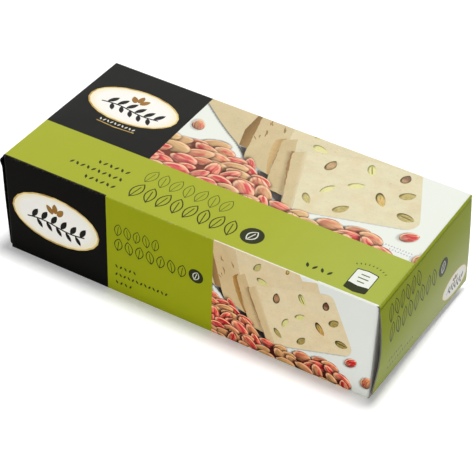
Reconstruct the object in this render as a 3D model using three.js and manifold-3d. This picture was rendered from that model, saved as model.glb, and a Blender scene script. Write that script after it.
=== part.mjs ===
// A shut folding carton for a block of halva, lying on its broad face.
//
// Millimetres, +Z up. The origin is the middle of the base, +X runs along the
// length and +Y towards the back panel. The carton can't be seen into, so it is
// one closed solid: a body with rounded creases and, at each end, an outer flap.
// A flap hinges on the top crease, covers the glued inner flap, stops short of
// the base and leaves an open slit behind its free edges.

import * as THREE from 'three';
import { mergeVertices } from 'three/addons/utils/BufferGeometryUtils.js';
import Module from 'manifold-3d';

// Driving dimensions of the shut carton.
const CARTON_LENGTH = 150;
const CARTON_DEPTH = 71;
const CARTON_HEIGHT = 42;
const BOARD_THICKNESS = 0.45;
const LONG_CREASE_RADIUS = 0.8;
const END_CREASE_RADIUS = 0.6;

// Outer end flaps, from their front edge to their back edge. The right one bows
// out at the front and has sprung open along its lower edge at the back; the
// left one lies flat below a roll at its hinge.
const FLAP_SIDE_INSET = 0.3;
const FLAP_HALF_WIDTH = CARTON_DEPTH / 2 - FLAP_SIDE_INSET;
const ROLL_SHARE = 0.1;
const RIGHT_FLAP = {
  end: 1,
  roll: 0,
  front: { standOff: 0.65, bow: 2.08, lift: 1.9 },
  back: { standOff: 2.05, bow: 0.25, lift: 3.5 },
};
const LEFT_FLAP = {
  end: -1,
  roll: 0.9,
  front: { standOff: 0.3, bow: 0.1, lift: 1.0 },
  back: { standOff: 0.3, bow: 0.1, lift: 1.2 },
};

// Glued inner flap that fills the space behind the outer one.
const SLIT_DEPTH = 9;
const GLUE_TOP = 0.04;
const GLUE_BOTTOM = 0.93;
const OVERLAP = 0.3;

const CURVE_SEGMENTS = 5;
const CREASE_SEGMENTS = 3;
const FLAP_ROWS = 40;

const BOARD_COLOUR = 0xacbc48;
const BOARD_ROUGHNESS = 0.45;

const wasm = await Module();
wasm.setup();

/** Turn a closed three.js geometry into a solid that can be joined. */
function toSolid(geometry) {
  const plain = geometry.clone();
  plain.deleteAttribute('normal');
  plain.deleteAttribute('uv');
  const merged = mergeVertices(plain);
  const mesh = new wasm.Mesh({
    numProp: 3,
    vertProperties: new Float32Array(merged.attributes.position.array),
    triVerts: new Uint32Array(merged.index.array),
  });
  return new wasm.Manifold(mesh);
}

/** Turn a joined solid back into a three.js geometry. */
function toGeometry(solid) {
  const mesh = solid.getMesh();
  const geometry = new THREE.BufferGeometry();
  geometry.setAttribute('position', new THREE.BufferAttribute(mesh.vertProperties, 3));
  geometry.setIndex(new THREE.BufferAttribute(mesh.triVerts, 1));
  geometry.computeVertexNormals();
  return geometry;
}

/** Cross-section of the body, depth by height, with a round at each long crease. */
function sectionShape() {
  const halfDepth = CARTON_DEPTH / 2;
  const halfHeight = CARTON_HEIGHT / 2;
  const radius = LONG_CREASE_RADIUS;
  const shape = new THREE.Shape();
  shape.absarc(halfDepth - radius, halfHeight - radius, radius, 0, Math.PI / 2);
  shape.absarc(radius - halfDepth, halfHeight - radius, radius, Math.PI / 2, Math.PI);
  shape.absarc(radius - halfDepth, radius - halfHeight, radius, Math.PI, 1.5 * Math.PI);
  shape.absarc(halfDepth - radius, radius - halfHeight, radius, 1.5 * Math.PI, 2 * Math.PI);
  return shape;
}

/** The body: the section drawn out along the length, with rounded end creases. */
function bodyGeometry() {
  const straight = CARTON_LENGTH - 2 * END_CREASE_RADIUS;
  const geometry = new THREE.ExtrudeGeometry(sectionShape(), {
    depth: straight,
    curveSegments: CURVE_SEGMENTS,
    bevelThickness: END_CREASE_RADIUS,
    bevelSize: END_CREASE_RADIUS,
    bevelOffset: -END_CREASE_RADIUS,
    bevelSegments: CREASE_SEGMENTS,
  });
  // The section's axes become Y and Z, and the drawing direction becomes X.
  geometry.applyMatrix4(new THREE.Matrix4().set(
    0, 0, 1, -straight / 2,
    1, 0, 0, 0,
    0, 1, 0, CARTON_HEIGHT / 2,
    0, 0, 0, 1,
  ));
  return geometry;
}

/** One of a flap's values at y, between those of its front and back edges. */
function flapValue(flap, name, y) {
  const share = (y / FLAP_HALF_WIDTH + 1) / 2;
  return THREE.MathUtils.lerp(flap.front[name], flap.back[name], share);
}

/** How far a flap stands off the end of the body, from hinge (drop 0) to lower edge (drop 1). */
function flapOffset(flap, drop, y) {
  const rollPhase = Math.min(drop / ROLL_SHARE, 1);
  const roll = flap.roll * Math.sin(Math.PI * rollPhase) ** 2;
  const sprung = flapValue(flap, 'standOff', y) * drop;
  return sprung + flapValue(flap, 'bow', y) * Math.sin(Math.PI * drop) + roll;
}

/** Height of a point on a flap: its lower edge is cut a little askew. */
function flapHeight(flap, drop, y) {
  const hinge = CARTON_HEIGHT - END_CREASE_RADIUS;
  return THREE.MathUtils.lerp(hinge, flapValue(flap, 'lift', y), drop);
}

/**
 * A closed slab that hangs at one end of the body, as high as the flap there.
 * Its two faces lie outer(drop, y) and inner(drop, y) beyond that end.
 */
function slabGeometry(flap, halfWidth, dropRange, outer, inner) {
  const positions = [];
  for (let row = 0; row <= FLAP_ROWS; row += 1) {
    const drop = THREE.MathUtils.lerp(dropRange[0], dropRange[1], row / FLAP_ROWS);
    for (const [side, reach] of [[-1, inner], [-1, outer], [1, outer], [1, inner]]) {
      const y = side * halfWidth;
      const x = flap.end * (CARTON_LENGTH / 2 + reach(drop, y));
      positions.push(x, y, flapHeight(flap, drop, y));
    }
  }
  const faces = [];
  const addQuad = (a, b, c, d) => {
    const quad = flap.end > 0 ? [a, b, c, a, c, d] : [a, c, b, a, d, c];
    faces.push(...quad);
  };
  for (let row = 0; row < FLAP_ROWS; row += 1) {
    for (let corner = 0; corner < 4; corner += 1) {
      const next = (corner + 1) % 4;
      const above = 4 * row;
      const below = 4 * (row + 1);
      addQuad(above + corner, below + corner, below + next, above + next);
    }
  }
  const last = 4 * FLAP_ROWS;
  addQuad(0, 1, 2, 3);
  addQuad(last + 3, last + 2, last + 1, last);
  const geometry = new THREE.BufferGeometry();
  geometry.setAttribute('position', new THREE.Float32BufferAttribute(positions, 3));
  geometry.setIndex(faces);
  return geometry;
}

/** The outer flap at one end, one board thick. */
function outerFlap(flap) {
  const outer = (drop, y) => flapOffset(flap, drop, y);
  const inner = (drop, y) => flapOffset(flap, drop, y) - BOARD_THICKNESS;
  return slabGeometry(flap, FLAP_HALF_WIDTH, [0, 1], outer, inner);
}

/** The glued layers between the body and an outer flap, set back from its free edges. */
function gluedLayers(flap) {
  const halfWidth = CARTON_DEPTH / 2 - SLIT_DEPTH;
  const outer = (drop, y) => flapOffset(flap, drop, y) - BOARD_THICKNESS / 2;
  return slabGeometry(flap, halfWidth, [GLUE_TOP, GLUE_BOTTOM], outer, () => -OVERLAP);
}

/** The whole carton as one closed solid. */
function cartonGeometry() {
  let solid = toSolid(bodyGeometry());
  for (const flap of [LEFT_FLAP, RIGHT_FLAP]) {
    solid = solid.add(toSolid(gluedLayers(flap)));
    solid = solid.add(toSolid(outerFlap(flap)));
  }
  return toGeometry(solid);
}

const boardMaterial = new THREE.MeshStandardMaterial({
  color: BOARD_COLOUR,
  roughness: BOARD_ROUGHNESS,
  metalness: 0,
});

const carton = new THREE.Mesh(cartonGeometry(), boardMaterial);
carton.name = 'carton';

const model = new THREE.Group();
model.add(carton);

export default model;
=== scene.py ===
"""A shut folding carton of pistachio halva, laid out as a Blender add-on and run as a script.

Each panel starts as a flat sheet on which the print is laid out in millimetres as
outlines, from the ground up. The sheet is split into triangles along them, folded
round its creases and given the board's thickness, and each ink gets a material.
"""

import math
import random
from dataclasses import dataclass, replace
from types import SimpleNamespace

import bpy
import numpy as np
from mathutils import Matrix, Vector
from mathutils.geometry import delaunay_2d_cdt


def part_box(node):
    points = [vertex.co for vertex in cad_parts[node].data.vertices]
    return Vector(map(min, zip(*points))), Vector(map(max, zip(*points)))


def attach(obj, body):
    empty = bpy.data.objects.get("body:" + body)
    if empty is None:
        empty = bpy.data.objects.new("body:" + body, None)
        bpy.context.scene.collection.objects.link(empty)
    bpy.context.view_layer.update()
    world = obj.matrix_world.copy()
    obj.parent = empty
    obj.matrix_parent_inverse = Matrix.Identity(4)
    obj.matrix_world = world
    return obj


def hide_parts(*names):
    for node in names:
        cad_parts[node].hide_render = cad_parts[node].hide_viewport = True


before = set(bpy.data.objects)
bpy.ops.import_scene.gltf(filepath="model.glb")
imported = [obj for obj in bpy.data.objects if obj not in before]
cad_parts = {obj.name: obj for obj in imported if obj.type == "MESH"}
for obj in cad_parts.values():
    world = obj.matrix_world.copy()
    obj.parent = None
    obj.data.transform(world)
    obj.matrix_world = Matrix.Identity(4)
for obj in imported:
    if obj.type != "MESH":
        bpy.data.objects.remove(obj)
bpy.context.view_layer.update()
CARTON_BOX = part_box("carton")

bl_info = {
    "name": "Halva carton",
    "version": (1, 0, 0),
    "blender": (4, 5, 0),
    "location": "3D View > Sidebar > Carton",
    "description": "Builds a shut, printed folding carton for a block of halva",
    "category": "Add Mesh",
}

MM = 0.001


def srgb(*values):
    """A colour given as 0 to 255 screen values, in the linear values that Blender keeps."""
    parts = [value / 255 for value in values]
    return tuple(part / 12.92 if part <= 0.04045 else ((part + 0.055) / 1.055) ** 2.4 for part in parts)


# ---------------------------------------------------------------- properties


def a_size(name, description, default):
    """A length that the user may change, in metres."""
    return bpy.props.FloatProperty(name=name, description=description, default=default,
                                   unit="LENGTH", precision=5, min=0)


def a_colour(name, description, default):
    """A colour that the user may change."""
    return bpy.props.FloatVectorProperty(name=name, description=description, default=default,
                                         subtype="COLOR", size=3, min=0, max=1)


def a_light(name, description, default):
    """An amount of light."""
    return bpy.props.FloatProperty(name=name, description=description, default=default, min=0)


class CartonSizes(bpy.types.PropertyGroup):
    """Sizes of the folded board."""

    length: a_size("Length", "Length of the body, without the end flaps", 0.150)
    depth: a_size("Depth", "From front panel to back panel", CARTON_BOX[1].y - CARTON_BOX[0].y)
    height: a_size("Height", "From base to top panel", CARTON_BOX[1].z - CARTON_BOX[0].z)
    board: a_size("Board", "Thickness of the board", 0.00045)
    crease: a_size("Crease", "Outer radius of a level crease", 0.0007)
    post_crease: a_size("Post crease", "Outer radius of an upright crease", 0.0012)
    swell: a_size("Swell", "How far the top swells at its middle", 0.0003)
    open_front: a_size("Front opening", "Stand-off of the right flap's lower edge, at the front", 0.00065)
    open_back: a_size("Back opening", "Stand-off of the right flap's lower edge, at the back", 0.00205)
    bow_front: a_size("Front bow", "How far the right flap bows out at its front edge", 0.00208)
    bow_back: a_size("Back bow", "How far the right flap bows out at its back edge", 0.00025)
    lift_front: a_size("Front lift", "Height of the right flap's lower edge at the front", 0.0019)
    lift_back: a_size("Back lift", "Height of the right flap's lower edge at the back", 0.0035)
    stand_left: a_size("Left stand-off", "How far the left flap's upper half stands off the end", 0.00095)
    roll: a_size("Hinge roll", "How much further the left flap rolls out below its hinge", 0.0007)
    flare: a_size("Flare", "How far each end spreads at the top of the front", 0.00065)
    flare_left: a_size("Left flare", "How much further the left end spreads there", 0.0005)


def millimetres():
    """The carton's sizes that the user has set, in millimetres."""
    sizes = bpy.context.scene.carton_sizes
    return SimpleNamespace(**{name: getattr(sizes, name) / MM for name in CartonSizes.__annotations__})


class PrintColours(bpy.types.PropertyGroup):
    """Inks of the printed board."""

    lime: a_colour("Lime", "Ground of the title band, on the sides and ends", srgb(148, 155, 16))
    # Painted light: the sides' lime made lighter and paler for the top, standing in for the top's brighter
    # light
    lime_top: a_colour("Lime, top", "Ground of the title band, on the top", srgb(161, 168, 43))
    dark: a_colour("Dark", "Dark field beside the picture", srgb(15, 14, 8))
    paper: a_colour("Paper", "White ground of the picture", srgb(225, 228, 218))
    halva: a_colour("Halva", "Cut face of a slice", srgb(218, 209, 175))
    halva_side: a_colour("Halva side", "Sawn side of a slice", srgb(197, 177, 134))
    nut_rose: a_colour("Nut, rose", "Rose skin of a pistachio kernel", srgb(200, 84, 86))
    nut_tan: a_colour("Nut, tan", "Pale skin of a pistachio kernel", srgb(202, 158, 116))
    kernel: a_colour("Kernel", "Cut kernel in a slice", srgb(206, 202, 120))
    gold: a_colour("Gold", "Rims and rules", srgb(184, 150, 78))
    cream: a_colour("Cream", "Oval plaque", srgb(238, 236, 228))
    title: a_colour("Title", "Dark line ornament", srgb(44, 48, 18))
    board: a_colour("Board", "Core of the board at a cut", srgb(104, 100, 90))


class StageSettings(bpy.types.PropertyGroup):
    """Floor and lights."""

    floor_width: a_size("Floor width", "Width of the pale floor", 4.0)
    floor_colour: a_colour("Floor", "Colour of the floor", (0.85, 0.85, 0.85))
    floor_glow: a_light("Floor glow", "Light that comes up through the floor", 0.27)
    room_left: a_light("Room, left", "Brightness of the room's low part to the left", 1.69)
    room_front: a_light("Room, front", "Brightness of the room's low part in front", 0.26)
    room_rest: a_light("Room, rest", "Brightness of the room everywhere", 0.04)
    key_power: a_light("Key", "Power of the overhead softbox, in watts", 31.0)


# ------------------------------------------------------------- shader wiring


def joining(operation, swapped=False):
    """A method that joins a wire with another value by one Math node."""
    def method(self, other):
        return self.join(operation, *((other, self) if swapped else (self, other)))
    return method


class Wire:
    """A shader socket that Python expressions can add to, multiply and so on."""

    __add__ = __radd__ = joining("ADD")
    __sub__ = joining("SUBTRACT")
    __rsub__ = joining("SUBTRACT", swapped=True)
    __mul__ = __rmul__ = joining("MULTIPLY")
    __truediv__ = joining("DIVIDE")

    def __init__(self, graph, socket):
        self.graph = graph
        self.socket = socket

    def join(self, operation, *values, clamp=False):
        """Add one Math node, fed with these values or wires."""
        return self.graph.node("Math", dict(enumerate(values)), operation=operation, use_clamp=clamp)

    def root(self):
        """Square root."""
        return self.join("SQRT", self)

    def clamped(self):
        """The same value, kept between 0 and 1."""
        return self.join("ADD", self, 0.0, clamp=True)

    def over(self, low, high):
        """0 below low, 1 above high, and a smooth step between."""
        return self.graph.node("MapRange", {0: self, 1: low, 2: high}, interpolation_type="SMOOTHSTEP")


class Graph:
    """The node tree of one material or of the room."""

    MIX_FACTOR, MIX_FIRST, MIX_SECOND, MIX_RESULT = 0, 6, 7, 2

    def __init__(self, owner):
        owner.use_nodes = True
        self.tree = owner.node_tree
        self.tree.nodes.clear()

    def node(self, kind, values=None, output=0, **settings):
        """Add any shader node, with its settings and the values or wires of its sockets."""
        made = self.tree.nodes.new("ShaderNode" + kind)
        for name, value in settings.items():
            setattr(made, name, value)
        for key, value in (values or {}).items():
            self.feed(made.inputs[key], value)
        return Wire(self, made.outputs[output] if made.outputs else None)

    def feed(self, socket, value):
        """Link a wire to a socket, or set the socket's own value."""
        if isinstance(value, Wire):
            self.tree.links.new(value.socket, socket)
        elif socket.type == "RGBA":
            socket.default_value = (*value[:3], 1.0)
        else:
            socket.default_value = value

    def mix(self, share, first, second, blend="MIX"):
        """Blend two colours."""
        values = {self.MIX_FACTOR: share, self.MIX_FIRST: first, self.MIX_SECOND: second}
        return self.node("Mix", values, self.MIX_RESULT, data_type="RGBA", blend_type=blend)

    def scaled(self, vector, scale):
        """A colour or a vector times a plain value."""
        return self.node("VectorMath", {0: vector, 3: scale}, operation="SCALE")

    def vector(self, x, y, z):
        """A vector from three values."""
        return self.node("CombineXYZ", {0: x, 1: y, 2: z})

    def parts(self, vector):
        """The three values of a vector."""
        return [self.node("SeparateXYZ", {0: vector}, axis) for axis in range(3)]

    def attribute(self, name):
        """Three values kept on the mesh under this name."""
        return self.parts(self.node("Attribute", output="Vector", attribute_name=name))

    def value(self, name):
        """One value kept on the mesh under this name."""
        return self.node("Attribute", output="Fac", attribute_name=name)

    def place(self, scale=1 / MM):
        """Where the surface is, in the object's own space: in millimetres, unless scaled otherwise."""
        return self.scaled(self.node("TexCoord", output="Object"), scale)

    def noise(self, vector, scale, detail=2.0, roughness=0.5):
        """Soft noise about 0.5."""
        values = {"Vector": vector, "Scale": scale, "Detail": detail, "Roughness": roughness}
        return self.node("TexNoise", values)

    def cloud(self, scale, detail=2.0, roughness=0.5):
        """Noise laid over the object in millimetres."""
        return self.noise(self.place(), scale, detail, roughness)


# ------------------------------------------------------------------ the inks


def colours():
    """The print colours that the user has set."""
    return bpy.context.scene.print_colours


def mottled(graph, colour, mottle=0.03, scale=0.12, detail=3.0):
    """A colour with a faint mottle."""
    return graph.scaled(colour, 1.0 + (graph.cloud(scale, detail) - 0.5) * (mottle * 2))


def named_ink(name, mottle=0.03):
    """An even ink in one of the colours that the user may change."""
    return lambda graph: mottled(graph, getattr(colours(), name), mottle)


def tinted_ink(colour, mottle=0.03):
    """An even ink in a colour of its own."""
    return lambda graph: mottled(graph, colour, mottle, 0.4, 2.0)


def lime_top_ink(graph):
    """The top's lime: a lighter copy of the sides' lime, and paler again towards the right, as painted light
    and a painted sheen.
    """
    # Painted sheen: the lime pales towards the right
    along = graph.parts(graph.place())[0].over(10.0, 70.0)
    return mottled(graph, graph.mix(along, colours().lime_top, srgb(163, 173, 68)))


def ground_ink(graph):
    """White ground of the picture, with the soft shade of what lies on it."""
    shade = graph.value("shade")
    return graph.mix(shade * shade, colours().paper, srgb(44, 32, 28))


def gold_ink(graph):
    """Printed gold that runs from dark to pale."""
    return graph.mix(graph.cloud(0.16, 1.0).over(0.35, 0.65), colours().gold, srgb(232, 205, 132))


def cream_ink(graph):
    """Cream plaque, a little yellow towards its rim."""
    along, across, _ = graph.attribute("within")
    rim = (along * along + across * across).over(0.62, 1.0)
    return graph.mix(rim * 0.6, colours().cream, srgb(236, 222, 170))


def halva_ink(graph):
    """Cut halva with soft fibres, crumbs and pits.

    The first seed runs from tan to cream, and the second fades the right."""
    along, across, tone = graph.attribute("within")
    fade = graph.attribute("tilt")[2]
    cloud = graph.cloud(0.14, 3.0)
    fibres = graph.noise(graph.vector(along * 2.6, across * 4.0, tone * 9.0), 1.6, 4.0)
    crumbs = graph.cloud(1.3, 3.0)
    pits = graph.cloud(0.9, 3.0).over(0.62, 0.74)
    light = 1.0 + (cloud - 0.5) * 0.12 + (fibres - 0.5) * 0.14 + (crumbs - 0.5) * 0.12 - pits * 0.16
    share = (tone + along.over(0.0, 1.0) * fade).clamped()
    plain = graph.mix(share, colours().halva_side, colours().halva)
    warm = graph.mix(cloud.over(0.42, 0.70) * 0.4, plain, srgb(206, 186, 146))
    return graph.mix(graph.value("shade"), graph.scaled(warm, light), srgb(92, 62, 34))


def streaked(graph, colour, stretch, depth, detail):
    """A colour with streaks that run along the shape."""
    streaks = graph.noise(graph.vector(*stretch), 1.5, detail)
    return graph.scaled(colour, 1.0 + (streaks - 0.5) * depth)


def halva_side_ink(graph):
    """Sawn side of a block that lies in the shade, darkest at its left edge."""
    along, across, seed = graph.attribute("within")
    colour = graph.mix(along.over(-0.9, 0.5), srgb(130, 101, 60), srgb(156, 125, 78))
    return streaked(graph, colour, (along * 3.0, across * 9.0, seed * 7.0), 0.3, 4.0)


def halva_gap_ink(graph):
    """The shaded gap between two slices, darkest on its right."""
    along, across, _ = graph.attribute("within")
    colour = graph.mix(along.over(-0.8, 0.9), srgb(198, 170, 120), srgb(178, 146, 94))
    return streaked(graph, colour, (along * 2.0, across * 5.0, 3.0), 0.3, 3.0)


def nut_ink(graph):
    """Pistachio kernels in their skins: crimson, salmon or tan, with pale lips round the lit side."""
    along, across, seed = graph.attribute("within")
    tilt_x, tilt_y, second_seed = graph.attribute("tilt")
    round_gap = along * along + across * across
    patches = graph.noise(graph.vector(along * 0.9, across * 1.2, seed * 31.0), 1.2)
    bend = graph.noise(graph.vector(along * 0.8, across * 0.5, second_seed * 17.0), 1.2, 1.0)
    ridges = graph.noise(graph.vector(along * 0.8, across * 3.4 + bend * 2.6, seed * 13.0), 1.3, 3.0)
    rose = graph.mix(second_seed.over(0.2, 0.8), srgb(200, 58, 66), colours().nut_rose)
    pink = graph.mix((patches + ridges * 0.4).over(0.55, 0.82), rose, srgb(226, 146, 122))
    tan = graph.mix(second_seed, colours().nut_tan, srgb(208, 178, 124))
    skin = graph.mix((patches * 0.6 + seed * 1.3).over(0.72, 1.12), pink, tan)
    height = (1.0 - round_gap).clamped().root() * 0.9 + 0.25
    size = (tilt_x * tilt_x + tilt_y * tilt_y + height * height).root()
    lit = ((tilt_y * 0.56 + tilt_x * 0.40 + height * 0.70) / size).clamped()
    body = graph.scaled(skin, (0.34 + lit * 0.80) * (1.0 + (ridges - 0.5) * 0.9))
    side = (tilt_y * 0.85 - tilt_x * 0.35).over(-0.55, 0.45)
    lip = round_gap.over(0.42, 0.72) * (1.0 - round_gap.over(0.88, 1.0)) * (side * 0.8 + 0.1)
    edged = graph.mix(lip * ridges.over(0.3, 0.5) * 0.95, body, srgb(240, 200, 162))
    dark = round_gap.over(0.80, 1.0) * (1.0 - side * 0.75) * 0.9
    outlined = graph.mix(dark, edged, srgb(84, 28, 22))
    shine = lit.over(0.94, 1.0) * ridges.over(0.46, 0.62) * 0.5
    glossy = graph.mix(shine, outlined, srgb(250, 222, 204))
    return graph.mix(graph.value("shade"), glossy, srgb(70, 24, 18))


def gap_ink(graph):
    """The dark between the nuts of a heap."""
    return graph.mix(graph.cloud(0.5), srgb(78, 34, 26), srgb(136, 74, 54))


def kernel_ink(graph):
    """A kernel cut across. The first seed runs from pale to brown, and the second opens a split."""
    along, across, ripe = graph.attribute("within")
    tilt_x, tilt_y, split = graph.attribute("tilt")
    round_gap = along * along + across * across
    cloud = graph.noise(graph.vector(along * 1.6, across * 2.8, ripe * 23.0 + split * 5.0), 1.7, 3.0)
    pale = graph.mix(cloud.over(0.40, 0.66), srgb(230, 224, 172), colours().kernel)
    olive = graph.mix(ripe.over(0.10, 0.50), pale, srgb(184, 168, 108))
    amber = graph.mix(ripe.over(0.55, 0.72) * along.over(-0.9, 0.2), olive, srgb(214, 182, 112))
    brown = graph.mix(ripe.over(0.80, 0.86), amber, srgb(186, 154, 116))
    purple = graph.mix(along.over(-0.6, 0.2) * ripe.over(0.9, 1.0), brown, srgb(138, 106, 86))
    flesh = graph.scaled(purple, 1.0 + (cloud - 0.5) * 1.5)
    side = (tilt_y * 0.7 - tilt_x * 0.7 + (cloud - 0.5) * 0.9).over(-0.25, 0.45)
    crescent = round_gap.over(0.26, 0.74) * side
    ring = round_gap.over(0.30, 0.76) * ripe.over(0.35, 1.0) * (1.0 - along.over(-0.2, 0.9) * 0.6)
    cleft = (1.0 - (across * across).over(0.0, 0.05)) * (1.0 - (along * along).over(0.2, 0.6))
    depth = (crescent * 0.72 + ring * 0.7 + cleft * split.over(0.4, 0.9) * 0.7).clamped()
    return graph.mix(depth, flesh, srgb(84, 76, 34))


INKS = {
    "lime": named_ink("lime"),
    "lime_top": lime_top_ink,
    "dark": named_ink("dark", 0.10),
    "paper": named_ink("paper", 0.01),
    "ground": ground_ink,
    "gold": gold_ink,
    "cream": cream_ink,
    "title": named_ink("title", 0.10),
    "fine_line": tinted_ink(srgb(84, 92, 30)),
    "pale_line": tinted_ink(srgb(214, 214, 200)),
    "faint_line": tinted_ink(srgb(176, 178, 196)),
    "sprig": tinted_ink(srgb(30, 28, 24)),
    "bronze": tinted_ink(srgb(150, 108, 48), 0.3),
    "halva": halva_ink,
    "halva_side": halva_side_ink,
    "halva_gap": halva_gap_ink,
    "halva_crack": tinted_ink(srgb(150, 116, 74), 0.3),
    "nut": nut_ink,
    "gap": gap_ink,
    "kernel": kernel_ink,
    "cut_edge": named_ink("board", 0.10),
    "inside": tinted_ink(srgb(176, 174, 168), 0.05),
}


@dataclass
class Finish:
    """How one side of the carton takes the light, and the light and shade painted into that side's copies of
    the inks.
    """

    name: str
    specular: float
    roughness: float
    # depth: a gamma on the picture's inks, which paints deeper shade into their darks on this side
    depth: float = 1.0
    sheen: bool = False
    # tints: painted light, making this side's copies of some inks lighter, darker or greener than the same
    # inks elsewhere
    painted_light_tints: tuple = ()


GLOSSY = Finish("glossy", 0.38, 0.36)
SOFT = Finish("soft", 0.0, 0.4, sheen=True, painted_light_tints=(("lime", (0.97, 1.035, 1.0)),))
# Front and back: painted shade darkens the black, and painted light brightens the picture's inks after their
# gamma
SATIN = Finish("satin", 0.03, 0.5, depth=1.55, painted_light_tints=(
    ("dark", (0.45, 0.43, 0.45)),
    ("halva", (1.09, 1.01, 0.95)),
    ("ground", (1.19, 1.18, 1.28)),
    ("nut", (1.30, 1.38, 1.62)),
    ("kernel", (1.14, 1.16, 1.50)),
))
# Inks whose darks get painted shade from their side's gamma
PAINTED_SHADE_INKS = ("nut", "gap", "kernel", "halva_gap", "ground")
WEAR = 0.22  # share of raw board where a crease is rubbed
DARK_WEAR = 0.08  # the same in the dark field


def rubbed(graph, colour, wear):
    """Show a little raw board where a crease has been rubbed."""
    share = (1.0 - graph.value("crease_gap").over(0.05, 0.75)) * graph.cloud(1.1, 4.0, 0.7).over(0.45, 0.75)
    return graph.mix(share * wear, colour, srgb(214, 210, 190))


def end_sheen(graph):
    """Share of clear varnish on an end flap: little at its hinge, more below and towards the back."""
    _, across, up = graph.parts(graph.place())
    return ((1.0 - up.over(2.0, 40.0)) * 0.58 + 0.24) * (across * 0.009 + 1.0)


def printed_material(ink_name, finish):
    """The board under one ink, with the finish of its side of the carton."""
    name = f"{ink_name}_{finish.name}"
    if name in bpy.data.materials:
        return bpy.data.materials[name]
    material = bpy.data.materials.new(name)
    graph = Graph(material)
    grain = graph.cloud(2.2, 3.0)
    relief = grain * 0.12 + graph.cloud(0.10, 1.0)
    colour = INKS[ink_name](graph)
    # Painted shade and light of this side: a gamma on the picture's inks, then a tint on each listed ink
    if ink_name in PAINTED_SHADE_INKS:
        colour = graph.node("Gamma", {"Color": colour, "Gamma": finish.depth})
    for start, tint in finish.painted_light_tints:
        if ink_name.startswith(start):
            colour = graph.mix(1.0, colour, tint, "MULTIPLY")
    values = {
        "Base Color": rubbed(graph, colour, DARK_WEAR if ink_name == "dark" else WEAR),
        "Roughness": finish.roughness + (grain - 0.5) * 0.10,
        "Specular IOR Level": finish.specular,
        "Normal": graph.node("Bump", {"Strength": 0.25, "Distance": 0.0002, "Height": relief}),
    }
    if finish.sheen:
        values |= {"Coat Weight": end_sheen(graph), "Coat Roughness": 0.35}
    graph.node("OutputMaterial", {"Surface": graph.node("BsdfPrincipled", values)})
    material.diffuse_color = (*colours().lime, 1.0)
    return material


# ---------------------------------------------------------- printed outlines


def placed(outline, middle, turn=0.0, scale=1.0):
    """Turn an outline about its own middle, scale it and move it to a place."""
    cos, sin = math.cos(turn) * scale, math.sin(turn) * scale
    return [(middle[0] + x * cos - y * sin, middle[1] + x * sin + y * cos) for x, y in outline]


def oval(length, width, count=24):
    """An ellipse."""
    turns = [math.tau * step / count for step in range(count)]
    return [(length / 2 * math.cos(t), width / 2 * math.sin(t)) for t in turns]


def nut_outline(length, width, point=0.3, bend=0.0, count=24):
    """A kernel: blunt at its left end, pointed at its right end, and bent a little."""
    outline = []
    for step in range(count):
        cos, sin = math.cos(math.tau * step / count), math.sin(math.tau * step / count)
        half = abs(sin) ** (1 + point * (1 + cos)) * (1 - 0.10 * cos)
        x, y = length / 2 * cos, width / 2 * math.copysign(half, sin)
        outline.append((x, y + bend * length * (cos * cos - 0.5)))
    return outline


def leaf(length, width, count=7):
    """A lens with a point at both ends, along X."""
    steps = [step / count for step in range(count + 1)]
    lower = [((s - 0.5) * length, -width / 2 * math.sin(math.pi * s) ** 0.8) for s in steps]
    return lower + [(x, -y) for x, y in reversed(lower[1:-1])]


def rounded(points, radii, steps=5):
    """A polygon, corners listed anticlockwise, each rounded by one radius or by its own."""
    outline = []
    for index, corner in enumerate(points):
        radius = radii[index] if isinstance(radii, tuple) else radii
        here = Vector(corner)
        before = (Vector(points[index - 1]) - here).normalized()
        after = (Vector(points[(index + 1) % len(points)]) - here).normalized()
        half_angle = before.angle(after) / 2
        middle = here + (before + after).normalized() * radius / math.sin(half_angle)
        start = here + before * radius / math.tan(half_angle) - middle
        end = here + after * radius / math.tan(half_angle) - middle
        sweep = math.atan2(start.x * end.y - start.y * end.x, start.dot(end))
        for step in range(steps + 1):
            outline.append(tuple(middle + Matrix.Rotation(sweep * step / steps, 2) @ start))
    return outline


def crumbled(outline, rng, pitch=1.2, size=0.17):
    """Break up straight edges a little, as cut halva does."""
    broken = []
    for start, end in zip(outline, outline[1:] + outline[:1]):
        count = max(1, round(math.dist(start, end) / pitch))
        for step in range(count):
            x, y = Vector(start).lerp(Vector(end), step / count)
            broken.append((x + rng.uniform(-size, size), y + rng.uniform(-size, size)))
    return broken


def box_outline(left, low, right, high):
    """A plain rectangle."""
    return [(left, low), (right, low), (right, high), (left, high)]


def extent_of(outline):
    """The left, low, right and high end of an outline."""
    across, up = zip(*outline)
    return min(across), min(up), max(across), max(up)


def ribbon(points, width):
    """The outline of a line of some width through these points."""
    lower, upper = [], []
    for index, point in enumerate(points):
        before = Vector(points[max(index - 1, 0)])
        after = Vector(points[min(index + 1, len(points) - 1)])
        along = (after - before).normalized() * width / 2
        lower.append((point[0] + along.y, point[1] - along.x))
        upper.append((point[0] - along.y, point[1] + along.x))
    return lower + upper[::-1]


def area_of(outline):
    """Signed area: above 0 for an anticlockwise outline."""
    return sum(a[0] * b[1] - a[1] * b[0] for a, b in zip(outline, outline[1:] + outline[:1])) / 2


@dataclass
class Shape:
    """One printed shape: its outline in millimetres, its ink, and a middle, reach and turn for shading.

    A shape with no ink only casts its shadow on what lies below it."""

    ink: str
    outline: list
    middle: tuple = (0.0, 0.0)
    reach: tuple = (1.0, 1.0)
    turn: float = 0.0
    seeds: tuple = (0.5, 0.5)
    shadow: float = 0.0
    blur: float = 1.0
    field: int = 0


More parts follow.
